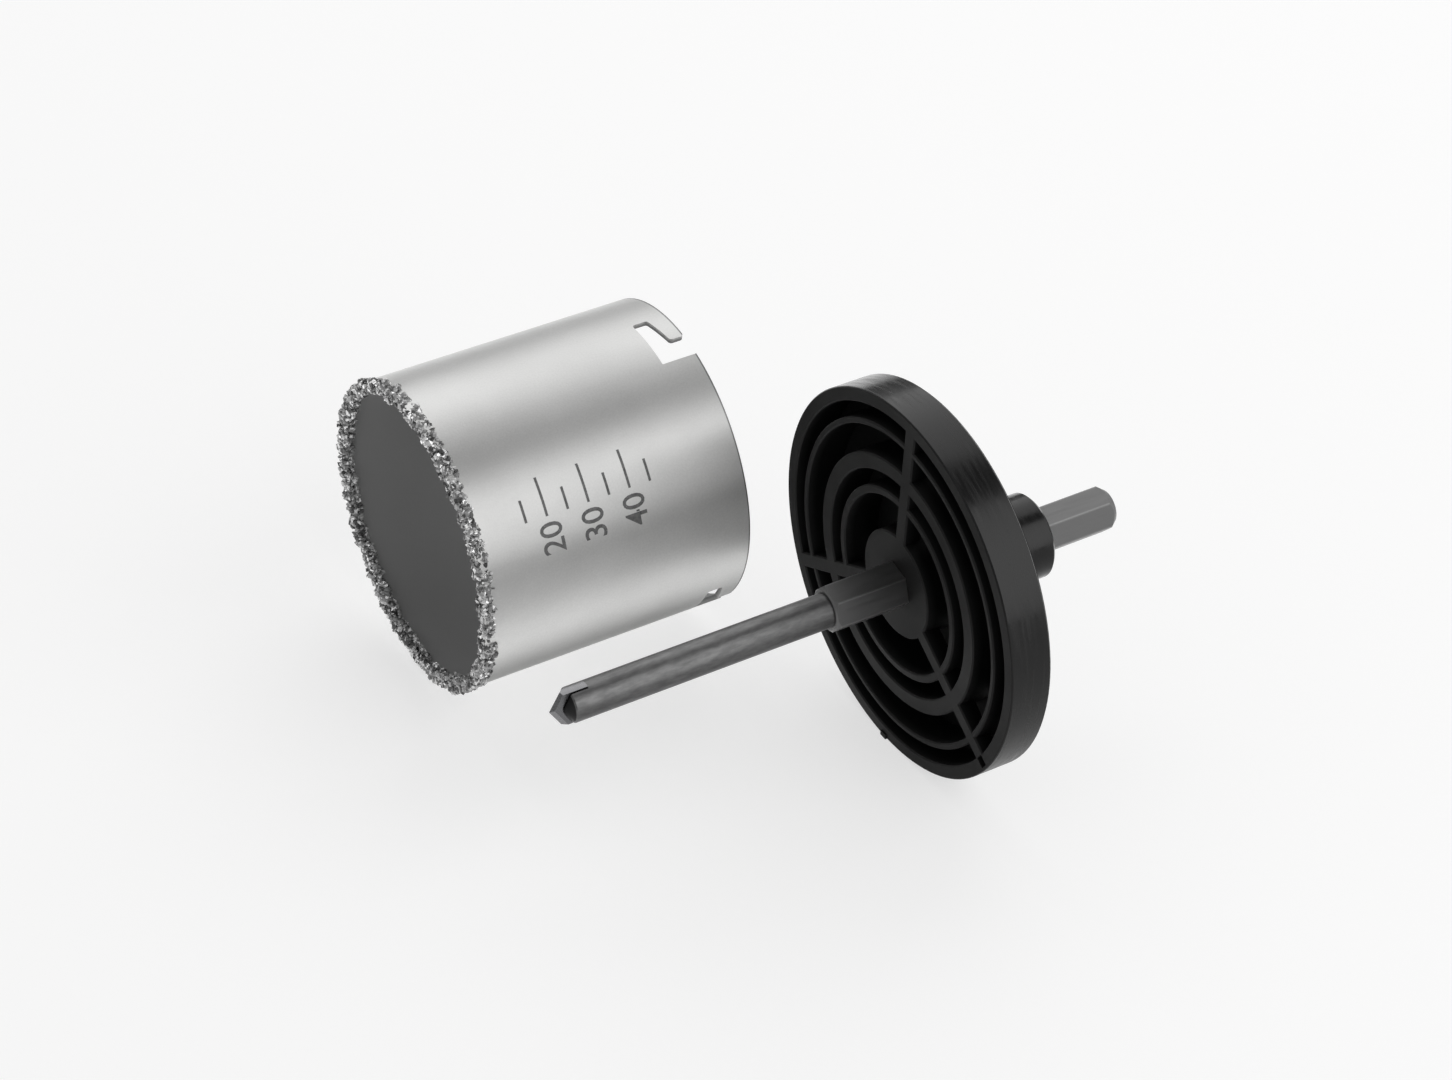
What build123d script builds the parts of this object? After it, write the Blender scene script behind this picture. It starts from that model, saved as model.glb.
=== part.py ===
from build123d import *
import os
import random
from math import cos, pi, radians, sin, sqrt

# A carbide-grit hole saw in two pieces, laid side by side with level axes.
# Each piece is built along the X axis, +X towards the shank, then set on the floor.

# Cup: a steel tube with a grit-coated mouth and three bayonet slots in the rear rim. The cut
# diameter and the two grit heights are those of the layer's mean surface, not of its peaks
cut_diameter = 73.0
grit_height = 1.0
grit_height_inside = 1.5
cup_length = 65.2
cup_wall = 1.2
grit_band = 2.2

# Grit texture: how far the layer's corners stand in or out, and stray along and round
grit_roughness = 0.35
grit_stray = 0.15
grit_stray_round = 0.3
grit_facets_round = 100
grit_seed = 73

# Back plate: hub, three locating rings and rim of one moulding, with a rear boss
hub_radius = 12.3
inner_ring_wall = 1.85
inner_groove = 3.65
thick_ring_wall = 3.65
wide_groove = 6.25
seat_clearance = 0.15
seat_ring_wall = 1.4
rim_groove = 3.55
rim_wall = 3.15
boss_radius = 9.6
boss_length = 25.0
plate_floor = 1.1
pocket_clearance = 0.2
edge_chamfer = 0.3
rear_chamfer = 0.5
boss_chamfer = 0.6
boss_root_round = 1.5
moulding_overlap = 1.0

# Spokes: three bars across the pockets, which the cup's hooks catch behind
spoke_count = 3
spoke_width = 3.5
spoke_depth = 3.9
spoke_roll = 94.5
window_clearance = 0.3

# Bayonet slots: an entry open to the rim and a leg that narrows to wedge on the spoke
slot_entry_clearance = 1.05
leg_lead = 1.1
leg_wedge = 0.17
leg_length = 8.2
hook_tip_width = 3.4
hook_tip_round = 0.8
leg_end_round = 0.6
slot_roll = 99.0

# Pilot: one bar of hexagon stock, turned down in front to a masonry drill
hex_across_flats = 9.5
hex_roll = 133.5
shank_free_length = 19.7
shank_nose_radius = 4.0
shank_chamfer_length = 2.0
hex_stub_length = 17.5
stub_nose_radius = 4.5
stub_chamfer_length = 1.0
drill_diameter = 7.76
drill_body_length = 61.1
drill_nose_chamfer = 0.25
drill_nose_cone = 2.7

# Carbide plate: brazed across the drill's nose and ground to a point with four facets.
# Rake and relief are the falls of the facets ahead of each ridge and behind it, mm per mm
tip_thickness = 2.1
tip_proud = 0.17
tip_seat_depth = 4.1
tip_shoulder = 1.86
tip_point = 4.45
tip_rake = 1.15
tip_relief = 0.3
tip_roll = 88.0
braze_gap = 0.3

# Moulding marks on the rim: a pit in line with the lowest spoke, and a gate's stub on the front edge
pit_width = 2.2
pit_length = 2.4
pit_depth = 2.0
pit_inset = 0.3
gate_roll = 273.0
gate_width = 2.0
gate_depth = 1.2
gate_proud = 0.35
gate_inset = 0.02

# Place of the arbor beside the cup
arbor_ahead = 12.0
arbor_aside = 75.25

# How far a cutter runs past what it cuts, and how near a point counts as on a line
overrun = 1.0
near = 0.01

# Sizes worked out from the ones above
cup_radius = cut_diameter / 2 - grit_height
cup_bore_radius = cup_radius - cup_wall
leg_mouth = spoke_depth + leg_lead
leg_end = spoke_depth - leg_wedge
slot_depth = hook_tip_width + leg_mouth
entry_width = spoke_width + 2 * slot_entry_clearance
pocket_depth = slot_depth + pocket_clearance
plate_thickness = pocket_depth + plate_floor
seat_ring_inner = cup_radius + seat_clearance
seat_ring_outer = seat_ring_inner + seat_ring_wall
rim_inner = seat_ring_outer + rim_groove
plate_radius = rim_inner + rim_wall
thick_ring_outer = seat_ring_inner - wide_groove
thick_ring_inner = thick_ring_outer - thick_ring_wall
inner_ring_outer = thick_ring_inner - inner_groove
inner_ring_inner = inner_ring_outer - inner_ring_wall
boss_end = plate_thickness + boss_length
shank_end = boss_end + shank_free_length
drill_nose = hex_stub_length + drill_body_length
hex_corner_radius = hex_across_flats / sqrt(3)
tip_width = drill_diameter + 2 * tip_proud


def tube(outer, inner, start, end):
    ring = Circle(outer) - Circle(inner)
    return extrude(Plane.YZ.offset(start) * ring, end - start)


def rod(radius, start, end):
    return extrude(Plane.YZ.offset(start) * Circle(radius), end - start)


def turned(points):
    outline = make_face(Polyline([(x, r) for x, r in points], close=True))
    return revolve(outline, Axis.X)


def round_x(part, angle):
    return part.rotate(Axis.X, angle)


# The slot lies in the plane that touches the cup over the slot's middle: u runs
# round the cup, from the entry's plain wall to the leg's blind end, v runs forward
def slot_cutter():
    width = entry_width + leg_length
    left, right = -width / 2, width / 2
    tip = left + entry_width
    hook_root_width = slot_depth - leg_end
    outline = Polyline(
        (left, -overrun), (left, slot_depth), (right, slot_depth),
        (right, hook_root_width), (tip, hook_tip_width), (tip, -overrun), close=True)
    face = make_face(outline)
    blind = [v for v in face.vertices() if v.X > right - near]
    face = fillet(blind, leg_end_round)
    hook = [v for v in face.vertices() if abs(v.X - tip) < near and v.Y > 0]
    face = fillet(hook, hook_tip_round)
    sheet = Plane(origin=(0, 0, 0), x_dir=(0, 1, 0), z_dir=(0, 0, 1))
    return extrude(sheet * face, cup_radius + overrun)


# The hook's outer corner at the rim is rounded too, by a cutter of its own
def hook_corner_cutter():
    tip = -(entry_width + leg_length) / 2 + entry_width
    square = Rectangle(hook_tip_round, hook_tip_round, align=(Align.MIN, Align.MIN))
    keep = Pos(hook_tip_round, hook_tip_round) * Circle(hook_tip_round)
    face = Pos(tip, 0) * (square - keep)
    sheet = Plane(origin=(0, 0, 0), x_dir=(0, 1, 0), z_dir=(0, 0, 1))
    return extrude(sheet * face, cup_radius + overrun)


# Each cutter starts at the axis, so that it cuts one side of the tube
def make_cup():
    cup = tube(cup_radius, cup_bore_radius, -cup_length, 0)
    cutter = slot_cutter() + hook_corner_cutter()
    for k in range(spoke_count):
        cup -= round_x(cutter, slot_roll - 90 + 360 * k / spoke_count)
    return cup


# Rows of the layer from its outer heel round the front to its inner heel: where each row
# stands on the tube's wall, which way it faces, and how thick the layer is there
def grit_profile():
    front, outer, inner = cup_length, cup_radius, cup_bore_radius
    rows = []
    for share in (0.0, 0.5, 1.0):
        rows.append((front - grit_band * (1 - share), outer, 0, 1, grit_height))
    for turn in (35, 75):
        rows.append((front, outer, sin(radians(turn)), cos(radians(turn)), grit_height))
    rows.append((front, (outer + inner) / 2, 1, 0, grit_height))
    for turn in (75, 35):
        rows.append((front, inner, sin(radians(turn)), -cos(radians(turn)), grit_height_inside))
    for share in (1.0, 0.5, 0.0):
        rows.append((front - grit_band * (1 - share), inner, 0, -1, grit_height_inside))
    return rows


# One row of corners, each a little out of true, apart from the two heels, which are thin
def grit_row(row, odd, heel, dice):
    x, r, forward, outward, thick = row
    corners = []
    for k in range(grit_facets_round):
        height = grit_roughness if heel else thick + dice.uniform(-grit_roughness, grit_roughness)
        round_by = 0 if heel else dice.uniform(-grit_stray_round, grit_stray_round)
        turn = 2 * pi * (k + odd / 2 + round_by) / grit_facets_round
        along = 0 if heel else dice.uniform(-grit_stray, grit_stray) * (1 - forward)
        reach = x + forward * height + along
        radius = r + outward * height
        corners.append(Vector(-reach, radius * cos(turn), radius * sin(turn)))
    return corners


# The layer is a closed band of flat facets with uneven corners: its last strip runs from the
# inner heel back to the outer one, through the tube's wall, and the tube is then cut away
def make_grit():
    dice = random.Random(grit_seed)
    rows = grit_profile()
    last = len(rows) - 1
    net = [grit_row(row, j % 2, j in (0, last), dice) for j, row in enumerate(rows)]
    faces = []
    for j in range(last + 1):
        a, b = net[j], net[(j + 1) % (last + 1)]
        for k in range(grit_facets_round):
            m = (k + 1) % grit_facets_round
            if j % 2 == 0:
                corners = ((a[k], a[m], b[k]), (a[m], b[m], b[k]))
            else:
                corners = ((a[k], a[m], b[m]), (a[k], b[m], b[k]))
            faces += [Face(Wire.make_polygon(trio, close=True)) for trio in corners]
    band = Solid(Shell(faces))
    return band - tube(cup_radius, cup_bore_radius, -cup_length, 0)


def ring_walls():
    return (
        (inner_ring_inner, inner_ring_outer),
        (thick_ring_inner, thick_ring_outer),
        (seat_ring_inner, seat_ring_outer),
        (rim_inner, plate_radius),
    )


def radial_bar(width, depth, start, low, high):
    bar = Box(depth, high - low, width, align=(Align.MIN, Align.MIN, Align.CENTER))
    return Pos(start, low, 0) * bar


def hexagon_bar(start, end):
    corners = [(hex_corner_radius * cos(radians(hex_roll + 60 * k)),
                hex_corner_radius * sin(radians(hex_roll + 60 * k))) for k in range(6)]
    return extrude(Plane.YZ.offset(start) * Polygon(*corners, align=None), end - start)


# Behind each spoke the floor is open, so the moulding tool can leave room for a hook
def floor_windows():
    width = spoke_width + 2 * window_clearance
    inner_edges = [hub_radius] + [outer for inner, outer in ring_walls()[:-1]]
    outer_edges = [inner for inner, outer in ring_walls()]
    windows = []
    for k in range(spoke_count):
        for low, high in zip(inner_edges, outer_edges):
            window = radial_bar(width, 2 * plate_floor, pocket_depth - plate_floor / 2,
                                low + window_clearance, high - window_clearance)
            windows.append(round_x(window, spoke_roll + 360 * k / spoke_count))
    return windows


def rim_pit():
    middle = (plate_radius + rim_inner) / 2 - pit_inset
    pit = Box(2 * pit_depth, pit_length, pit_width)
    return round_x(Pos(0, middle, 0) * pit, spoke_roll + 360 / spoke_count)


# What is left of the moulding's gate fills the front edge's chamfer and stands ahead of it
def rim_gate():
    stub = Box(gate_proud + gate_depth, gate_depth, gate_width, align=(Align.MIN, Align.MAX, Align.CENTER))
    return round_x(Pos(-gate_proud, plate_radius - gate_inset, 0) * stub, gate_roll)


def make_plate():
    plate = rod(plate_radius, pocket_depth, plate_thickness) + rod(hub_radius, 0, plate_thickness)
    for inner, outer in ring_walls():
        plate += tube(outer, inner, 0, plate_thickness)
    for k in range(spoke_count):
        bar = radial_bar(spoke_width, spoke_depth, 0,
                         hub_radius - moulding_overlap, rim_inner + moulding_overlap)
        plate += round_x(bar, spoke_roll + 360 * k / spoke_count)
    front = [e for e in plate.edges() if e.bounding_box().max.X < near]
    plate = chamfer(front, min(edge_chamfer, seat_ring_wall / 3))
    rear = [e for e in plate.edges().filter_by(GeomType.CIRCLE)
            if abs(e.radius - plate_radius) < near and e.center().X > pocket_depth]
    plate = chamfer(rear, rear_chamfer)
    boss = rod(boss_radius, plate_thickness - moulding_overlap, boss_end)
    plate += chamfer(boss.edges().sort_by(Axis.X)[-1], boss_chamfer)
    root = [e for e in plate.edges().filter_by(GeomType.CIRCLE)
            if abs(e.radius - boss_radius) < near and abs(e.center().X - plate_thickness) < near]
    plate = fillet(root, boss_root_round)
    for window in floor_windows():
        plate -= window
    plate -= rim_pit()
    plate += rim_gate()
    return plate - hexagon_bar(-moulding_overlap, boss_end + moulding_overlap)


# A cone that takes the hexagon's corners down to a radius at its end, drawn past them
def corner_cone(end, direction, nose, length):
    slope = (hex_corner_radius - nose) / length
    reach = 1.5 * length
    return [(end, nose), (end - direction * reach, nose + slope * reach)]


def make_drill():
    stub = corner_cone(-hex_stub_length, -1, stub_nose_radius, stub_chamfer_length)
    shank = corner_cone(shank_end, 1, shank_nose_radius, shank_chamfer_length)
    wide = 2 * hex_corner_radius
    envelope = turned([(-hex_stub_length, 0)] + stub + [(stub[1][0], wide), (shank[1][0], wide)]
                      + shank[::-1] + [(shank_end, 0)])
    bar = hexagon_bar(-hex_stub_length, shank_end) & envelope
    r = drill_diameter / 2
    body_root = moulding_overlap - hex_stub_length
    bar += turned([
        (-drill_nose - drill_nose_cone, 0), (-drill_nose, r - drill_nose_chamfer),
        (-drill_nose + drill_nose_chamfer, r), (body_root, r), (body_root, 0)])
    slot = Box(tip_seat_depth + tip_point, tip_thickness + braze_gap, 2 * drill_diameter,
               align=(Align.MIN, Align.CENTER, Align.CENTER))
    slot = Pos(-drill_nose - tip_point, -braze_gap / 2, 0) * slot
    return bar - round_x(slot, tip_roll - 90)


# The plate's ends are ground to a round, and four planes through the apex cut its point.
# In each half they meet in a ridge, steep on the side that leads and eased behind
def make_tip():
    length = tip_seat_depth + tip_point
    blank = Box(length, tip_thickness, tip_width, align=(Align.MIN, Align.CENTER, Align.CENTER))
    blank = Pos(-drill_nose - tip_point, 0, 0) * blank
    blank = blank & rod(tip_width / 2, -drill_nose - tip_point, -drill_nose + tip_seat_depth)
    apex = Vector(-drill_nose - tip_point, 0, 0)
    fall = (tip_point - tip_shoulder) / (tip_width / 2)
    for side in (1, -1):
        for slope in (tip_rake, -tip_relief):
            ground = Plane(origin=apex, z_dir=Vector(-1, slope * side, fall * side))
            blank = split(blank, ground, keep=Keep.BOTTOM)
    return round_x(blank, tip_roll - 90)


def solid_of(shape):
    solids = shape.solids()
    return solids[0] if len(solids) == 1 else Compound(children=list(solids))


shell, grit = make_cup(), make_grit()
cup_axis = Pos(0, 0, -grit.bounding_box().min.Z)
arbor_axis = Pos(arbor_ahead, -arbor_aside, plate_radius)
pieces = {
    "cup_shell": cup_axis * solid_of(shell),
    "carbide_grit": cup_axis * solid_of(grit),
    "back_plate": arbor_axis * solid_of(make_plate()),
    "pilot_drill": arbor_axis * solid_of(make_drill()),
    "carbide_tip": arbor_axis * solid_of(make_tip()),
}

# The origin is on the floor, under the middle of the whole set
boxes = [piece.bounding_box() for piece in pieces.values()]
middle_x = (min(b.min.X for b in boxes) + max(b.max.X for b in boxes)) / 2
middle_y = (min(b.min.Y for b in boxes) + max(b.max.Y for b in boxes)) / 2

os.makedirs("parts", exist_ok=True)
for name, piece in pieces.items():
    export_step(Pos(-middle_x, -middle_y, 0) * piece, f"parts/{name}.step")
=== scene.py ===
import math

import bmesh
import bpy
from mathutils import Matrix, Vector


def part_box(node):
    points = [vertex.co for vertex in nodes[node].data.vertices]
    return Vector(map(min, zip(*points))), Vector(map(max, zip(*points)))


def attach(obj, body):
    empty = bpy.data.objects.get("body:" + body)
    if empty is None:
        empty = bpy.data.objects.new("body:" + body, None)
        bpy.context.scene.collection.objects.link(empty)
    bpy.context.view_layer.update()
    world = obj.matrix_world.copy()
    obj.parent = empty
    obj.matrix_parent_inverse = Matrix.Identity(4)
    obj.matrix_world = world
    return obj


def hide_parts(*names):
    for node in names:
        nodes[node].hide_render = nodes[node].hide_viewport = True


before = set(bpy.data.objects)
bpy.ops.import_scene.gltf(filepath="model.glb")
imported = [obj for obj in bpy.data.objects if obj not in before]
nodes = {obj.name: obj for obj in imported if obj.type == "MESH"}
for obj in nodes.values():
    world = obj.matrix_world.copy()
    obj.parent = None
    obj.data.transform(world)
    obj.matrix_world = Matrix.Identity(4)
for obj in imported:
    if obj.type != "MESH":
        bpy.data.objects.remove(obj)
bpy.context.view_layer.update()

mm = 0.001
noiseLow, noiseHigh = 0.3, 0.7  # a noise keeps mostly between these
print("frame loaded")

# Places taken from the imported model, in metres
cupLow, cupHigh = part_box("cup_shell")
plateLow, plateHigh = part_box("back_plate")
gritLow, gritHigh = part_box("carbide_grit")
cup = {
    "axisY": (cupLow[1] + cupHigh[1]) / 2,
    "axisZ": (cupLow[2] + cupHigh[2]) / 2,
    "radius": (cupHigh[1] - cupLow[1]) / 2,
    "wall": 1.2 * mm,
    "front": cupLow[0],
    "rear": cupHigh[0],
}
gateStub = 0.35 * mm  # stands ahead of the plate's face
plateThickness = 9.7 * mm
hexStubLength = 17.5 * mm  # the hexagon in front of the plate's face
drillReach = 78.6 * mm  # from the plate's face to where the drill's nose begins
arbor = {
    "axisY": (plateLow[1] + plateHigh[1]) / 2,
    "axisZ": (plateLow[2] + plateHigh[2]) / 2,
    "radius": (plateHigh[2] - plateLow[2]) / 2,
    "face": plateLow[0] + gateStub,
    "rear": plateLow[0] + gateStub + plateThickness,
    "hexFront": plateLow[0] + gateStub - hexStubLength,
    "drillNose": plateLow[0] + gateStub - drillReach,
}


# A hex colour in linear light, or a plain number as that share of white
def toLinear(colour):
    if not isinstance(colour, str):
        return (colour, colour, colour, 1.0)
    values = [int(colour[k:k + 2], 16) / 255 for k in (1, 3, 5)]
    return [v / 12.92 if v <= 0.04045 else ((v + 0.055) / 1.055) ** 2.4 for v in values] + [1.0]


# A setting is one of the node's own properties, or an input by its name or number. An input
# takes a value, a hex colour, another node's output, or a node for the first of its outputs
def fillNode(node, settings):
    for name, value in settings.items():
        if isinstance(name, str) and hasattr(node, name):
            setattr(node, name, value)
            continue
        if isinstance(value, bpy.types.Node):
            value = value.outputs[0]
        if isinstance(value, bpy.types.NodeSocket):
            node.id_data.links.new(value, node.inputs[name])
        elif isinstance(value, str) and value.startswith("#"):
            node.inputs[name].default_value = toLinear(value)
        else:
            node.inputs[name].default_value = value


# Stops are a colour ramp's places with their colours. A Mix node's inputs go by number: 0 is
# its share, 2 and 3 are its numbers, 6 and 7 its colours, and its colour is output 2
def addNode(tree, kind, settings=None, stops=()):
    node = tree.nodes.new(kind)
    fillNode(node, settings or {})
    elements = node.color_ramp.elements if stops else ()
    while len(elements) < len(stops):
        elements.new(0.5)
    for element, (position, colour) in zip(elements, stops):
        element.position = position
        element.color = toLinear(colour)
    return node


def newMaterial(name):
    material = bpy.data.materials.new(name)
    material.use_nodes = True
    tree = material.node_tree
    surface = next(n for n in tree.nodes if n.type == "BSDF_PRINCIPLED")
    place = addNode(tree, "ShaderNodeTexCoord").outputs["Object"]
    return material, tree, surface, place


# Distance from the axis of the cup or the arbor, in metres
def radiusFrom(tree, place, axisY, axisZ):
    parts = addNode(tree, "ShaderNodeSeparateXYZ", {0: place}).outputs
    y = addNode(tree, "ShaderNodeMath", {"operation": "SUBTRACT", 0: parts["Y"], 1: axisY})
    z = addNode(tree, "ShaderNodeMath", {"operation": "SUBTRACT", 0: parts["Z"], 1: axisZ})
    squareY = addNode(tree, "ShaderNodeMath", {"operation": "MULTIPLY", 0: y, 1: y})
    squareZ = addNode(tree, "ShaderNodeMath", {"operation": "MULTIPLY", 0: z, 1: z})
    squares = addNode(tree, "ShaderNodeMath", {"operation": "ADD", 0: squareY, 1: squareZ})
    return addNode(tree, "ShaderNodeMath", {"operation": "SQRT", 0: squares})


# Mild steel tube, finished on a belt while it turned, then lightly blasted: an even satin
# grey with a fine grain, whose scratches round the tube spread its reflections along it.
# Inside, where neither reaches, it is dull and dark, and the sawn rear rim is a dark line
def makeCupSteel():
    look = {
        "outside": ("#D2D2D1", "#DEDEDD"),
        "inside": "#A6A6A6",
        "sawnRim": "#7C7C7C",
        "rimWidth": 0.4 * mm,
        "grainsPerMm": 2.2,  # blasting leaves ten or so, too fine to show, so drawn coarser
        "grainRange": (0.2, 0.8),  # of the noise, between the smoothest place and the roughest
        "cloudsPerMm": 0.045,  # faint clouds, about 22 mm wide
        "contrast": (0.38, 0.62),
        "roughness": (0.46, 0.58),
        "insideRougher": 0.35,
        "insideMetallic": 0.5,
        "scratchSpread": 0.7,
        "grainDepth": 0.03 * mm,
        "grainStrength": 0.7,
    }
    material, tree, surface, place = newMaterial("blastedSteelTube")
    grain = addNode(tree, "ShaderNodeTexNoise", {
        "Vector": place, "Scale": look["grainsPerMm"] / mm, "Detail": 3.0, "Roughness": 0.6})
    cloud = addNode(tree, "ShaderNodeTexNoise", {
        "Vector": place, "Scale": look["cloudsPerMm"] / mm, "Detail": 3.0})
    mottle = addNode(tree, "ShaderNodeMix", {"data_type": "FLOAT", 0: 0.5, 2: cloud, 3: grain})
    lighter = addNode(tree, "ShaderNodeMapRange", {
        "Value": mottle, "From Min": look["contrast"][0], "From Max": look["contrast"][1]})
    shade = addNode(tree, "ShaderNodeMix", {
        "data_type": "RGBA", 0: lighter, 6: look["outside"][0], 7: look["outside"][1]})
    wallMiddle = cup["radius"] - cup["wall"] / 2
    outside = addNode(tree, "ShaderNodeMapRange", {
        "Value": radiusFrom(tree, place, cup["axisY"], cup["axisZ"]),
        "From Min": wallMiddle - cup["wall"] / 4, "From Max": wallMiddle + cup["wall"] / 4})
    onRim = addNode(tree, "ShaderNodeMapRange", {
        "Value": addNode(tree, "ShaderNodeSeparateXYZ", {0: place}).outputs["X"],
        "From Min": cup["rear"] - look["rimWidth"], "From Max": cup["rear"] - look["rimWidth"] / 2})
    steel = addNode(tree, "ShaderNodeMix", {
        "data_type": "RGBA", 0: onRim, 6: shade.outputs[2], 7: look["sawnRim"]})
    colour = addNode(tree, "ShaderNodeMix", {
        "data_type": "RGBA", 0: outside, 6: look["inside"], 7: steel.outputs[2]})
    metallic = addNode(tree, "ShaderNodeMix", {
        "data_type": "FLOAT", 0: outside, 2: look["insideMetallic"], 3: 1.0})
    rough = addNode(tree, "ShaderNodeMapRange", {
        "Value": grain, "From Min": look["grainRange"][0], "From Max": look["grainRange"][1],
        "To Min": look["roughness"][0], "To Max": look["roughness"][1]})
    rougher = addNode(tree, "ShaderNodeMapRange", {
        "Value": outside, "To Min": look["insideRougher"], "To Max": 0.0})
    fillNode(surface, {
        "Base Color": colour.outputs[2],
        "Metallic": metallic,
        "Roughness": addNode(tree, "ShaderNodeMath", {"operation": "ADD", 0: rough, 1: rougher}),
        "Anisotropic": look["scratchSpread"],
        "Tangent": addNode(tree, "ShaderNodeCombineXYZ", {"X": 1.0}),
        "Normal": addNode(tree, "ShaderNodeBump", {
            "Height": grain, "Distance": look["grainDepth"], "Strength": look["grainStrength"]}),
    })
    return material


# Crushed tungsten carbide brazed in nickel: angular grains, each its own grey, some bright
def makeGritCarbide():
    look = {
        "tones": ((0.0, "#4E4E4E"), (0.4, "#A0A0A0"), (0.8, "#D8D8D8"), (1.0, "#FFFFFF")),
        "metallic": 0.85,
        "roughness": (0.55, 0.25),  # from the darkest grain to the brightest
        "facetsPerMm": 6.0,  # the broken faces within a grain
        "facetDepth": 0.03 * mm,
        "facetStrength": 0.6,
    }
    material, tree, surface, place = newMaterial("crushedCarbide")
    tone = addNode(tree, "ShaderNodeAttribute", {"attribute_name": "grainTone"}).outputs["Fac"]
    facets = addNode(tree, "ShaderNodeTexNoise", {"Vector": place, "Scale": look["facetsPerMm"] / mm})
    fillNode(surface, {
        "Base Color": addNode(tree, "ShaderNodeValToRGB", {0: tone}, look["tones"]),
        "Metallic": look["metallic"],
        "Roughness": addNode(tree, "ShaderNodeMapRange", {
            "Value": tone, "To Min": look["roughness"][0], "To Max": look["roughness"][1]}),
        "Normal": addNode(tree, "ShaderNodeBump", {
            "Height": facets, "Distance": look["facetDepth"], "Strength": look["facetStrength"]}),
    })
    return material


# Glass-filled nylon, injection moulded: near black, spark-textured on its faces, and glossier
# on the rim and boss, whose turned mould leaves fine streaks round them. Deep in the grooves
# the faces' gloss is turned down, as painted shade
def makePlateNylon():
    look = {
        "faces": ((0.3, "#050505"), (0.7, "#0B0B0B")),
        "sides": ((0.45, "#050505"), (0.75, "#121212")),
        "faceRoughness": (0.62, 0.75),
        "sideRoughness": (0.14, 0.32),
        "gloss": 0.38,
        # painted shade: deep in the grooves the faces' gloss is turned down, darkening them
        "paintedGrooveShadeGloss": 0.1,
        "paintedGrooveShadeDepth": (0.3 * mm, 2.5 * mm),  # where the gloss starts to go, and where it is gone
        "rimFade": (0.2 * mm, 0.1 * mm),  # inwards of the rim, where its finish begins and is full
        "bossFade": 0.5 * mm,
        "cloudsPerMm": 0.06,  # faint clouds of flow, about 17 mm wide
        "sparksPerMm": 1.8,  # spark texture has ten or so, too fine to show, so drawn coarser
        "streaksPerMm": 1.1,  # the mould's turning has ten or so, too fine to show, so drawn coarser
        "streakStretch": (1.0, 0.08, 0.08),
        "reliefDepth": 0.01 * mm,
        "reliefStrength": 0.35,
    }
    material, tree, surface, place = newMaterial("mouldedNylon")
    spark = addNode(tree, "ShaderNodeTexNoise", {
        "Vector": place, "Scale": look["sparksPerMm"] / mm, "Roughness": 0.6})
    cloud = addNode(tree, "ShaderNodeTexNoise", {
        "Vector": place, "Scale": look["cloudsPerMm"] / mm, "Detail": 3.0})
    streak = addNode(tree, "ShaderNodeTexNoise", {
        "Vector": addNode(tree, "ShaderNodeMapping", {"Vector": place, "Scale": look["streakStretch"]}),
        "Scale": look["streaksPerMm"] / mm, "Detail": 3.0, "Roughness": 0.6})
    along = addNode(tree, "ShaderNodeSeparateXYZ", {0: place}).outputs["X"]
    onRim = addNode(tree, "ShaderNodeMapRange", {
        "Value": radiusFrom(tree, place, arbor["axisY"], arbor["axisZ"]),
        "From Min": arbor["radius"] - look["rimFade"][0], "From Max": arbor["radius"] - look["rimFade"][1]})
    onBoss = addNode(tree, "ShaderNodeMapRange", {
        "Value": along, "From Min": arbor["rear"], "From Max": arbor["rear"] + look["bossFade"]})
    onSide = addNode(tree, "ShaderNodeMath", {"operation": "MAXIMUM", 0: onRim, 1: onBoss})
    colour = addNode(tree, "ShaderNodeMix", {
        "data_type": "RGBA", 0: onSide,
        6: addNode(tree, "ShaderNodeValToRGB", {0: cloud}, look["faces"]),
        7: addNode(tree, "ShaderNodeValToRGB", {0: streak}, look["sides"])})
    faceRough = addNode(tree, "ShaderNodeMapRange", {
        "Value": cloud, "From Min": noiseLow, "From Max": noiseHigh,
        "To Min": look["faceRoughness"][0], "To Max": look["faceRoughness"][1]})
    sideRough = addNode(tree, "ShaderNodeMapRange", {
        "Value": streak, "From Min": noiseLow, "From Max": noiseHigh,
        "To Min": look["sideRoughness"][0], "To Max": look["sideRoughness"][1]})
    # painted shade: the faces' gloss fades with depth behind the face, darkening the grooves
    faceGlossWithPaintedShade = addNode(tree, "ShaderNodeMapRange", {
        "Value": along, "From Min": arbor["face"] + look["paintedGrooveShadeDepth"][0],
        "From Max": arbor["face"] + look["paintedGrooveShadeDepth"][1],
        "To Min": look["gloss"], "To Max": look["paintedGrooveShadeGloss"]})
    relief = addNode(tree, "ShaderNodeMix", {"data_type": "FLOAT", 0: onSide, 2: spark, 3: streak})
    fillNode(surface, {
        "Base Color": colour.outputs[2],
        "Roughness": addNode(tree, "ShaderNodeMix", {
            "data_type": "FLOAT", 0: onSide, 2: faceRough, 3: sideRough}),
        "Specular IOR Level": addNode(tree, "ShaderNodeMix", {
            "data_type": "FLOAT", 0: onSide, 2: faceGlossWithPaintedShade, 3: look["gloss"]}),
        "Normal": addNode(tree, "ShaderNodeBump", {
            "Height": relief, "Distance": look["reliefDepth"], "Strength": look["reliefStrength"]}),
    })
    return material
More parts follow.
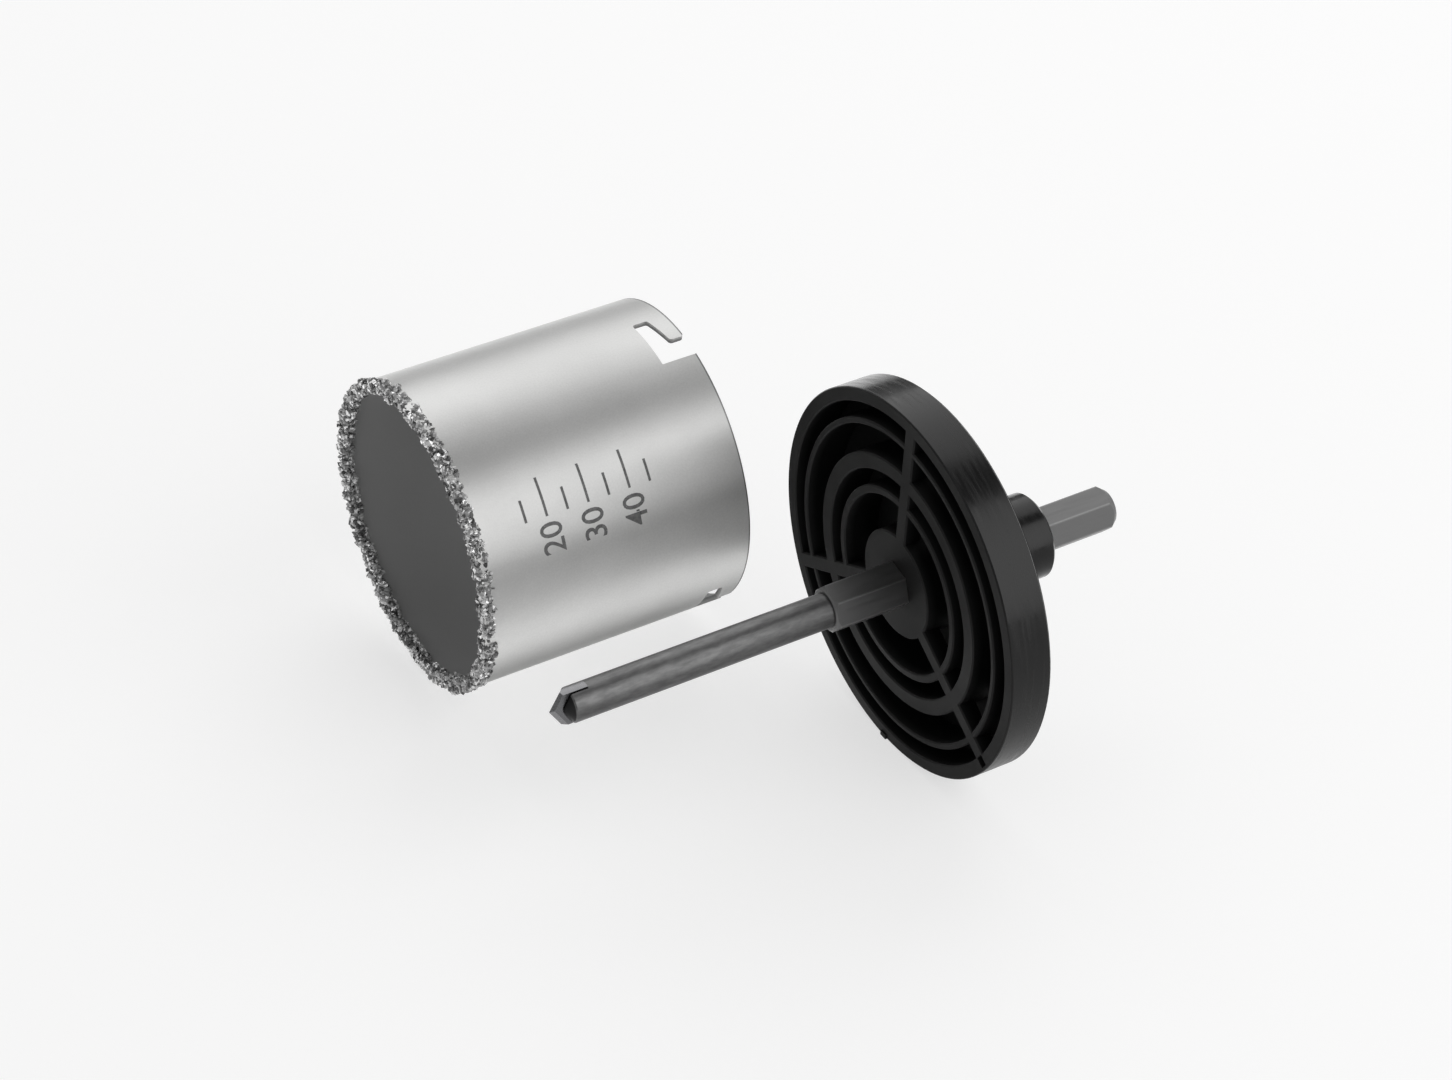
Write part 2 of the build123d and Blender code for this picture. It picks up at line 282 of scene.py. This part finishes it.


# Cold-drawn hexagon steel with a thin dark oxide, drawn in faint lines along the bar and
# turned to a softer grey on the drill, whose nose the brazing has blackened. The hexagon's
# corners and its end chamfers are brighter, partly rubbed and partly a painted highlight
# along those edges
def makeBarSteel():
    look = {
        "hexagon": "#747474",
        "rubbedAndHighlit": "#8E8E8E",
        "drill": ((0.35, "#676767"), (0.65, "#787878")),
        "nose": "#2E2E2E",
        "cornerRadii": (5.3 * mm, 5.45 * mm),  # the rubbing starts at the first and is full at the second
        "chamfer": (0.5 * mm, 0.3 * mm),
        "chamferRubAndHighlight": 0.2,
        "blur": 0.1 * mm,  # of the line between two finishes
        "roughness": (0.36, 0.5),
        "linesPerMm": 1.3,  # drawing leaves ten or so, too fine to show, so drawn coarser
        "lineStretch": (0.05, 1.0, 1.0),
        "lineDepth": 0.02 * mm,
        "lineStrength": 0.7,
        "mottlesPerMm": 1.0,  # heat and handling leave patches of about 1 mm on the drill
        "mottleStretch": (0.3, 1.0, 1.0),
    }
    material, tree, surface, place = newMaterial("drawnHexSteel")
    lines = addNode(tree, "ShaderNodeTexNoise", {
        "Vector": addNode(tree, "ShaderNodeMapping", {"Vector": place, "Scale": look["lineStretch"]}),
        "Scale": look["linesPerMm"] / mm, "Detail": 3.0, "Roughness": 0.65})
    mottle = addNode(tree, "ShaderNodeTexNoise", {
        "Vector": addNode(tree, "ShaderNodeMapping", {"Vector": place, "Scale": look["mottleStretch"]}),
        "Scale": look["mottlesPerMm"] / mm, "Detail": 3.0, "Roughness": 0.6})
    along = addNode(tree, "ShaderNodeSeparateXYZ", {0: place}).outputs["X"]
    onHexagon = addNode(tree, "ShaderNodeMapRange", {
        "Value": along, "From Min": arbor["hexFront"] - look["blur"],
        "From Max": arbor["hexFront"] + look["blur"]})
    onDrill = addNode(tree, "ShaderNodeMapRange", {
        "Value": along, "From Min": arbor["drillNose"] - look["blur"], "From Max": arbor["drillNose"]})
    onCorner = addNode(tree, "ShaderNodeMapRange", {
        "Value": radiusFrom(tree, place, arbor["axisY"], arbor["axisZ"]),
        "From Min": look["cornerRadii"][0], "From Max": look["cornerRadii"][1]})
    onChamfer = addNode(tree, "ShaderNodeMapRange", {
        "Value": along, "From Min": arbor["hexFront"] + look["chamfer"][0],
        "From Max": arbor["hexFront"] + look["chamfer"][1], "To Max": look["chamferRubAndHighlight"]})
    # corners and chamfer made brighter: partly rubbing, partly a painted highlight along the edges
    rubbedAndHighlit = addNode(tree, "ShaderNodeMath", {"operation": "MAXIMUM", 0: onCorner, 1: onChamfer})
    hexagon = addNode(tree, "ShaderNodeMix", {
        "data_type": "RGBA", 0: rubbedAndHighlit, 6: look["hexagon"], 7: look["rubbedAndHighlit"]})
    drill = addNode(tree, "ShaderNodeMix", {
        "data_type": "RGBA", 0: onDrill, 6: look["nose"],
        7: addNode(tree, "ShaderNodeValToRGB", {0: mottle}, look["drill"])})
    colour = addNode(tree, "ShaderNodeMix", {
        "data_type": "RGBA", 0: onHexagon, 6: drill.outputs[2], 7: hexagon.outputs[2]})
    fillNode(surface, {
        "Base Color": colour.outputs[2],
        "Metallic": 1.0,
        "Roughness": addNode(tree, "ShaderNodeMapRange", {
            "Value": lines, "From Min": noiseLow, "From Max": noiseHigh,
            "To Min": look["roughness"][0], "To Max": look["roughness"][1]}),
        "Normal": addNode(tree, "ShaderNodeBump", {
            "Height": lines, "Distance": look["lineDepth"], "Strength": look["lineStrength"]}),
    })
    return material


# Sintered carbide, ground on a wheel: dark and smooth with fine grinding lines
def makeTipCarbide():
    look = {
        "colour": "#828284",
        "roughness": (0.22, 0.34),
        "linesPerMm": 2.5,  # the wheel leaves twenty or so, too fine to show, so drawn coarser
        "lineStretch": (1.0, 0.15, 1.0),
        "lineDepth": 0.01 * mm,
        "lineStrength": 0.4,
    }
    material, tree, surface, place = newMaterial("groundCarbide")
    lines = addNode(tree, "ShaderNodeTexNoise", {
        "Vector": addNode(tree, "ShaderNodeMapping", {"Vector": place, "Scale": look["lineStretch"]}),
        "Scale": look["linesPerMm"] / mm, "Roughness": 0.6})
    fillNode(surface, {
        "Base Color": look["colour"],
        "Metallic": 1.0,
        "Roughness": addNode(tree, "ShaderNodeMapRange", {
            "Value": lines, "From Min": noiseLow, "From Max": noiseHigh,
            "To Min": look["roughness"][0], "To Max": look["roughness"][1]}),
        "Normal": addNode(tree, "ShaderNodeBump", {
            "Height": lines, "Distance": look["lineDepth"], "Strength": look["lineStrength"]}),
    })
    return material


cupSteel = makeCupSteel()
gritCarbide = makeGritCarbide()
plateNylon = makePlateNylon()
barSteel = makeBarSteel()
tipCarbide = makeTipCarbide()
for node, material in (("cup_shell", cupSteel), ("back_plate", plateNylon),
                       ("pilot_drill", barSteel), ("carbide_tip", tipCarbide)):
    for entry in nodes[node].material_slots:
        entry.material = material
print("materials made")


def newObject(name, mesh):
    thing = bpy.data.objects.new(name, mesh)
    bpy.context.scene.collection.objects.link(thing)
    return thing


def finishedMesh(thing):
    bpy.context.view_layer.update()
    graph = bpy.context.evaluated_depsgraph_get()
    return bpy.data.meshes.new_from_object(thing.evaluated_get(graph))


# A surface of revolution about the cup's axis, from points (x, radius)
def turnedMesh(name, outline, around):
    shape = bmesh.new()
    rings = []
    for x, r in outline:
        ring = []
        for k in range(around):
            turn = 2 * math.pi * k / around
            y, z = cup["axisY"] + r * math.cos(turn), cup["axisZ"] + r * math.sin(turn)
            ring.append(shape.verts.new((x, y, z)))
        rings.append(ring)
    for a, b in zip(rings, rings[1:]):
        for k in range(around):
            m = (k + 1) % around
            shape.faces.new((a[k], a[m], b[m], b[k]))
    mesh = bpy.data.meshes.new(name)
    shape.to_mesh(mesh)
    shape.free()
    return mesh


grit = {
    "bandOutside": 2.7 * mm,
    "bandInside": 2.3 * mm,
    "seat": 0.3 * mm,  # height of the seat over the steel outside and in front
    "seatInside": 1.45 * mm,
    "sunk": 0.02 * mm,  # depth of the seat's two ends in the steel
    "cutRadius": 37.6 * mm,
    "grain": 0.56 * mm,
    "grainSizes": (0.4, 1.6),  # as shares of that radius
    "grainsPerSquareMm": 2.4,
    "spin": 6.28,
    "knock": 0.22 * mm,  # how far a corner is knocked out of true
    "clumpHeight": 1.35 * mm,
    "clumpsPerMm": 0.43,
    "clumpRange": (0.4, 0.7),  # of the noise, from the lowest place to the highest
    "seed": 11,
    "around": 360,
}


# The seat of the grains: out along the tube, round its front edge and in along the bore
def gritOutline():
    outer, inner, front = cup["radius"], cup["radius"] - cup["wall"], cup["front"]
    lift, liftInside = grit["seat"], grit["seatInside"]
    steps = (0.15, 0.45, 0.75)
    corner = [(lift * math.sin(math.radians(turn)), math.cos(math.radians(turn))) for turn in (0, 30, 60)]
    points = [(front + grit["bandOutside"], outer - grit["sunk"])]
    points += [(front + grit["bandOutside"] * (1 - step), outer + lift) for step in steps]
    points += [(front - ahead, outer + lift * side) for ahead, side in corner]
    points += [(front - lift, outer + (inner - outer) * step) for step in (0, 0.5, 1)]
    points += [(front - ahead, inner - liftInside * side) for ahead, side in reversed(corner)]
    points += [(front + grit["bandInside"] * (1 - step), inner - liftInside) for step in reversed(steps)]
    return points + [(front + grit["bandInside"], inner + grit["sunk"])]


# Grains are scattered over the seat, turned and sized at random, then each corner is
# knocked out of true and the whole is kept in its place
def gritTree():
    tree = bpy.data.node_groups.new("scatterGrains", "GeometryNodeTree")
    tree.interface.new_socket("Geometry", in_out="OUTPUT", socket_type="NodeSocketGeometry")
    keys = {}
    for name, kind, value in (
            ("Seat", "NodeSocketGeometry", None),
            ("Grain radius", "NodeSocketFloat", grit["grain"]),
            ("Density", "NodeSocketFloat", grit["grainsPerSquareMm"] / mm ** 2),
            ("Clump height", "NodeSocketFloat", grit["clumpHeight"]),
            ("Clumps per metre", "NodeSocketFloat", grit["clumpsPerMm"] / mm),
            ("Cut radius", "NodeSocketFloat", grit["cutRadius"]),
            ("Axis", "NodeSocketVector", (0.0, 0.0, 0.0)),
            ("Lowest corner", "NodeSocketVector", (0.0, 0.0, 0.0)),
            ("Highest corner", "NodeSocketVector", (0.0, 0.0, 0.0)),
            ("Seed", "NodeSocketInt", grit["seed"])):
        socket = tree.interface.new_socket(name, in_out="INPUT", socket_type=kind)
        if value is not None:
            socket.default_value = value
        keys[name] = socket.identifier
    given = addNode(tree, "NodeGroupInput").outputs
    lumpy = addNode(tree, "ShaderNodeTexNoise", {"Scale": given["Clumps per metre"]})
    rise = addNode(tree, "ShaderNodeMapRange", {
        "Value": lumpy, "From Min": grit["clumpRange"][0], "From Max": grit["clumpRange"][1]})
    height = addNode(tree, "ShaderNodeMath", {"operation": "MULTIPLY", 0: rise, 1: given["Clump height"]})
    lift = addNode(tree, "ShaderNodeVectorMath", {
        "operation": "SCALE", 0: addNode(tree, "GeometryNodeInputNormal"), "Scale": height})
    seat = addNode(tree, "GeometryNodeSetPosition", {"Geometry": given["Seat"], "Offset": lift})
    points = addNode(tree, "GeometryNodeDistributePointsOnFaces", {
        "distribute_method": "RANDOM", "Mesh": seat, "Density": given["Density"], "Seed": given["Seed"]})
    smallest, largest = grit["grainSizes"]
    placed = addNode(tree, "GeometryNodeInstanceOnPoints", {
        "Points": points,
        "Instance": addNode(tree, "GeometryNodeMeshIcoSphere", {
            "Subdivisions": 1, "Radius": given["Grain radius"]}),
        "Rotation": addNode(tree, "FunctionNodeRandomValue", {
            "data_type": "FLOAT_VECTOR", 1: (grit["spin"],) * 3, "Seed": given["Seed"]}),
        "Scale": addNode(tree, "FunctionNodeRandomValue", {
            "data_type": "FLOAT_VECTOR", 0: (smallest,) * 3, 1: (largest,) * 3, "Seed": given["Seed"]})})
    tone = addNode(tree, "FunctionNodeRandomValue", {"data_type": "FLOAT", "Seed": given["Seed"]})
    toned = addNode(tree, "GeometryNodeStoreNamedAttribute", {
        "data_type": "FLOAT", "domain": "INSTANCE", "Name": "grainTone", "Geometry": placed,
        "Value": tone.outputs[1]})
    real = addNode(tree, "GeometryNodeRealizeInstances", {"Geometry": toned})
    joined = addNode(tree, "GeometryNodeJoinGeometry", {"Geometry": real})
    fillNode(joined, {"Geometry": seat})
    knock = addNode(tree, "FunctionNodeRandomValue", {
        "data_type": "FLOAT_VECTOR", 0: (-grit["knock"],) * 3, 1: (grit["knock"],) * 3,
        "Seed": given["Seed"]})
    knocked = addNode(tree, "GeometryNodeSetPosition", {"Geometry": joined, "Offset": knock})
    kept = keepInside(tree, knocked, given)
    flat = addNode(tree, "GeometryNodeSetShadeSmooth", {"Geometry": kept, "Shade Smooth": False})
    painted = addNode(tree, "GeometryNodeSetMaterial", {"Geometry": flat, "Material": gritCarbide})
    addNode(tree, "NodeGroupOutput", {"Geometry": painted})
    return tree, keys


# Pulls the grains back inside the cut radius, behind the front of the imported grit, and
# between its lowest point and its far side
def keepInside(tree, geometry, given):
    place = addNode(tree, "GeometryNodeInputPosition")
    fromAxis = addNode(tree, "ShaderNodeVectorMath", {"operation": "SUBTRACT", 0: place, 1: given["Axis"]})
    parts = addNode(tree, "ShaderNodeSeparateXYZ", {0: fromAxis}).outputs
    across = addNode(tree, "ShaderNodeCombineXYZ", {"Y": parts["Y"], "Z": parts["Z"]})
    length = addNode(tree, "ShaderNodeVectorMath", {"operation": "LENGTH", 0: across}).outputs["Value"]
    share = addNode(tree, "ShaderNodeMath", {"operation": "DIVIDE", 0: given["Cut radius"], 1: length})
    held = addNode(tree, "ShaderNodeMath", {"operation": "MINIMUM", 0: share, 1: 1.0})
    shrunk = addNode(tree, "ShaderNodeVectorMath", {"operation": "SCALE", 0: across, "Scale": held})
    sides = addNode(tree, "ShaderNodeSeparateXYZ", {0: shrunk}).outputs
    whole = addNode(tree, "ShaderNodeCombineXYZ", {"X": parts["X"], "Y": sides["Y"], "Z": sides["Z"]})
    back = addNode(tree, "ShaderNodeVectorMath", {"operation": "ADD", 0: whole, 1: given["Axis"]})
    above = addNode(tree, "ShaderNodeVectorMath", {
        "operation": "MAXIMUM", 0: back, 1: given["Lowest corner"]})
    within = addNode(tree, "ShaderNodeVectorMath", {
        "operation": "MINIMUM", 0: above, 1: given["Highest corner"]})
    return addNode(tree, "GeometryNodeSetPosition", {"Geometry": geometry, "Position": within})


def makeGrit():
    seat = newObject("gritGrains", turnedMesh("gritSeat", gritOutline(), grit["around"]))
    tree, keys = gritTree()
    scatter = seat.modifiers.new("grains", "NODES")
    scatter.node_group = tree
    scatter[keys["Axis"]] = (0.0, cup["axisY"], cup["axisZ"])
    scatter[keys["Lowest corner"]] = (gritLow[0], cup["axisY"] - grit["cutRadius"], gritLow[2])
    scatter[keys["Highest corner"]] = (cup["rear"], gritHigh[1], cup["axisZ"] + grit["cutRadius"])
    mesh = finishedMesh(seat)
    seat.modifiers.clear()
    seat.data = mesh
    print("grains made:", len(seat.data.polygons), "faces")
    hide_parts("carbide_grit")
    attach(seat, "root")


makeGrit()

# Laser-etched depth scale on the cup: a dash every 5 mm from the cutting edge, and a long
# one with its depth in millimetres every 10 mm
etching = {
    "depths": (15, 45, 5),  # in millimetres: the first, the last and the step
    "numbered": 10,  # a number at each multiple of this depth
    "numeralHeight": 5.2 * mm,
    "numeralEnd": -0.4 * mm,
    "numeralWeight": 0.05 * mm,
    "capShare": 0.7,  # a capital's height as a share of the text's size
    "dashStart": 0.8 * mm,
    "longDash": 8.6 * mm,
    "shortDash": 5.0 * mm,
    "dashWidth": 0.6 * mm,
    "dashPieces": 12,
    "longestEdge": 1.5 * mm,  # of a numeral, before its edges are cut to follow the cup
    "middleAngle": 150.0,
    "proud": 0.012 * mm,
}


# Oxide left by the laser: matt, darker than the steel, slightly uneven
def makeEtchedOxide():
    look = {
        "colours": ((0.3, "#585858"), (0.7, "#7A7A7A")),
        "cloudsPerMm": 0.9,  # the laser's lines are twenty or so, too fine to show, so drawn coarser
        "metallic": 0.6,
        "roughness": 0.6,
    }
    material, tree, surface, place = newMaterial("laserEtchedOxide")
    cloud = addNode(tree, "ShaderNodeTexNoise", {
        "Vector": place, "Scale": look["cloudsPerMm"] / mm, "Detail": 3.0, "Roughness": 0.7})
    fillNode(surface, {
        "Base Color": addNode(tree, "ShaderNodeValToRGB", {0: cloud}, look["colours"]),
        "Metallic": look["metallic"],
        "Roughness": look["roughness"],
    })
    return material


# Wraps a flat drawing round the cup: u runs round the cup upwards, v towards the mouth
def wrapOnCup(shape, depth):
    radius = cup["radius"] + etching["proud"]
    middle = math.radians(etching["middleAngle"])
    for vert in shape.verts:
        u, v = vert.co.x, vert.co.y
        turn = middle - u / radius
        x = gritLow[0] + depth * mm - v
        vert.co = (x, cup["axisY"] + radius * math.cos(turn), cup["axisZ"] + radius * math.sin(turn))


def flatBar(start, width, height, pieces):
    shape = bmesh.new()
    columns = []
    for k in range(pieces + 1):
        u = start + k / pieces * width
        columns.append((shape.verts.new((u, -height / 2, 0)), shape.verts.new((u, height / 2, 0))))
    for (a, b), (c, d) in zip(columns, columns[1:]):
        shape.faces.new((a, c, d, b))
    return shape


def numeral(words, height, end):
    text = bpy.data.curves.new("numeral", "FONT")
    text.body = words
    text.align_x = "RIGHT"
    text.size = height / etching["capShare"]
    text.offset = etching["numeralWeight"]
    text.resolution_u = 4
    holder = newObject("numeral", text)
    mesh = finishedMesh(holder)
    bpy.data.objects.remove(holder)
    shape = bmesh.new()
    shape.from_mesh(mesh)
    bmesh.ops.remove_doubles(shape, verts=shape.verts, dist=1e-6)
    longEdges = [e for e in shape.edges if e.calc_length() > etching["longestEdge"]]
    bmesh.ops.subdivide_edges(shape, edges=longEdges, cuts=2)
    bmesh.ops.triangulate(shape, faces=shape.faces)
    bmesh.ops.translate(shape, verts=shape.verts, vec=(end, -height / 2, 0))
    return shape


def makeEtching():
    shapes = []
    first, last, step = etching["depths"]
    for depth in range(first, last + 1, step):
        numbered = depth % etching["numbered"] == 0
        length = etching["longDash"] if numbered else etching["shortDash"]
        dash = flatBar(etching["dashStart"], length, etching["dashWidth"], etching["dashPieces"])
        shapes.append((depth, dash))
        if numbered:
            shapes.append((depth, numeral(str(depth), etching["numeralHeight"], etching["numeralEnd"])))
    whole = bmesh.new()
    scratch = bpy.data.meshes.new("etchedPart")
    for depth, shape in shapes:
        wrapOnCup(shape, depth)
        shape.to_mesh(scratch)
        whole.from_mesh(scratch)
        shape.free()
    mesh = bpy.data.meshes.new("depthScale")
    whole.to_mesh(mesh)
    whole.free()
    mesh.materials.append(makeEtchedOxide())
    scale = newObject("depthScale", mesh)
    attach(scale, "root")
    print("depth scale made")


makeEtching()

# Studio: a white table, two long soft boxes over the set's two sides, and a surround that is
# dim overhead and at the horizon, so that the steel shows soft bright and grey bands
studio = {
    "floorSize": 6.0,
    "floorGlow": 0.6,  # of the table as the camera sees it
    "floorWhite": (0.75, 0.45),  # the table's colour for the light round the set, and for the camera
    "paintedPoolReach": 100 * mm,
    # the table's glow in the steel, against the place across the set in millimetres: a painted
    # pool of light before the cup, and painted shade under it
    "paintedPool": ((-100, 0.1), (-60, 0.1), (-37, 0.32), (-20, 0.56), (-8, 0.78), (0, 0.68), (6, 0.36),
             (12, 0.02), (18, 0.0), (24, 0.35), (34, 0.7)),
    "beyondFloor": "#F0F0F0",
    # brightness against the height of the direction, from -1 straight down to 1 straight up
    "surround": ((-0.2, 0.5), (0.0, 0.1), (0.25, 0.42), (0.6, 0.45), (1.0, 0.14)),
    "aim": (0.0, 0.0, 0.04),
    "boxes": (
        # name, direction, distance, length along the axes, height, brightness as a share of white
        ("boxBehind", (0.38, 0.58, 0.70), 1.6, 2.2, 1.55, 1.12),
        ("boxInFront", (0.38, -0.78, 0.49), 1.7, 2.2, 1.85, 1.38),
    ),
}


# To the camera and in the steel, part of the table's white is its own glow, so that the objects'
# shadows on it stay light. In the steel that glow is a painted pool of light before the cup and
# painted shade under it
def makeFloor():
    half = studio["floorSize"] / 2
    mesh = bpy.data.meshes.new("floor")
    corners = [(-half, -half, 0), (half, -half, 0), (half, half, 0), (-half, half, 0)]
    mesh.from_pydata(corners, [], [(0, 1, 2, 3)])
    material, tree, surface, place = newMaterial("whiteTable")
    material.cycles.emission_sampling = "NONE"
    ray = addNode(tree, "ShaderNodeLightPath").outputs
    reach = studio["paintedPoolReach"]
    across = addNode(tree, "ShaderNodeMapRange", {
        "Value": addNode(tree, "ShaderNodeSeparateXYZ", {0: place}).outputs["Y"],
        "From Min": -reach, "From Max": reach})
    stops = [((side * mm + reach) / (2 * reach), light) for side, light in studio["paintedPool"]]
    # painted light and shade: the table's glow in the steel rises before the cup and falls away under it,
    # by place alone
    paintedPool = addNode(tree, "ShaderNodeValToRGB", {0: across}, stops)
    byCamera = addNode(tree, "ShaderNodeMath", {
        "operation": "MULTIPLY", 0: ray["Is Camera Ray"], 1: studio["floorGlow"]})
    paintedPoolInSteel = addNode(tree, "ShaderNodeMath", {"operation": "MULTIPLY", 0: ray["Is Glossy Ray"], 1: paintedPool})
    fillNode(surface, {
        "Base Color": addNode(tree, "ShaderNodeMapRange", {
            "Value": ray["Is Camera Ray"],
            "To Min": studio["floorWhite"][0], "To Max": studio["floorWhite"][1]}),
        "Emission Color": "#FFFFFF",
        "Emission Strength": addNode(tree, "ShaderNodeMath", {"operation": "ADD", 0: byCamera, 1: paintedPoolInSteel}),
        "Roughness": 1.0,
        "Specular IOR Level": 0.0,
    })
    mesh.materials.append(material)
    newObject("floor", mesh)


# Past the table's end the camera sees plain white in place of the surround
def makeSurround():
    world = bpy.data.worlds.new("surround")
    bpy.context.scene.world = world
    world.use_nodes = True
    tree = world.node_tree
    back = next(n for n in tree.nodes if n.type == "BACKGROUND")
    way = addNode(tree, "ShaderNodeTexCoord").outputs["Generated"]
    upwards = addNode(tree, "ShaderNodeMapRange", {
        "Value": addNode(tree, "ShaderNodeSeparateXYZ", {0: way}).outputs["Z"], "From Min": -1.0})
    stops = [((height + 1) / 2, light) for height, light in studio["surround"]]
    dim = addNode(tree, "ShaderNodeValToRGB", {0: upwards}, stops)
    byCamera = addNode(tree, "ShaderNodeLightPath").outputs["Is Camera Ray"]
    seen = addNode(tree, "ShaderNodeMix", {
        "data_type": "RGBA", 0: byCamera, 6: dim, 7: studio["beyondFloor"]})
    fillNode(back, {"Color": seen.outputs[2], "Strength": 1.0})


# A box's power is worked out so that its face has its share of white
def makeBoxes():
    aim = Vector(studio["aim"])
    for name, way, distance, length, height, brightness in studio["boxes"]:
        lamp = bpy.data.lights.new(name, "AREA")
        lamp.shape = "RECTANGLE"
        lamp.size, lamp.size_y = length, height
        lamp.energy = brightness * math.pi * length * height
        holder = newObject(name, lamp)
        holder.location = aim + Vector(way).normalized() * distance
        holder.rotation_euler = (-Vector(way)).to_track_quat("-Z", "Y").to_euler()


def makeCamera():
    view = {
        "fromCupRear": (-0.3157, -0.5608, 0.4608),  # from the middle of the cup's rear rim, in metres
        "elevation": 37.093,
        "azimuth": -30.51,
        "focalPixels": 3500.0,
        "imageWidth": 1452.0,
    }
    lens = bpy.data.cameras.new("camera")
    lens.sensor_width = 36.0
    lens.lens = view["focalPixels"] / view["imageWidth"] * lens.sensor_width
    lens.clip_start = 0.05
    camera = newObject("camera", lens)
    camera.location = Vector((cup["rear"], cup["axisY"], cup["axisZ"])) + Vector(view["fromCupRear"])
    camera.rotation_euler = (math.radians(90 - view["elevation"]), 0, math.radians(view["azimuth"]))
    bpy.context.scene.camera = camera


makeFloor()
makeSurround()
makeBoxes()
makeCamera()
bpy.context.scene.view_settings.view_transform = "Standard"
print("studio made")
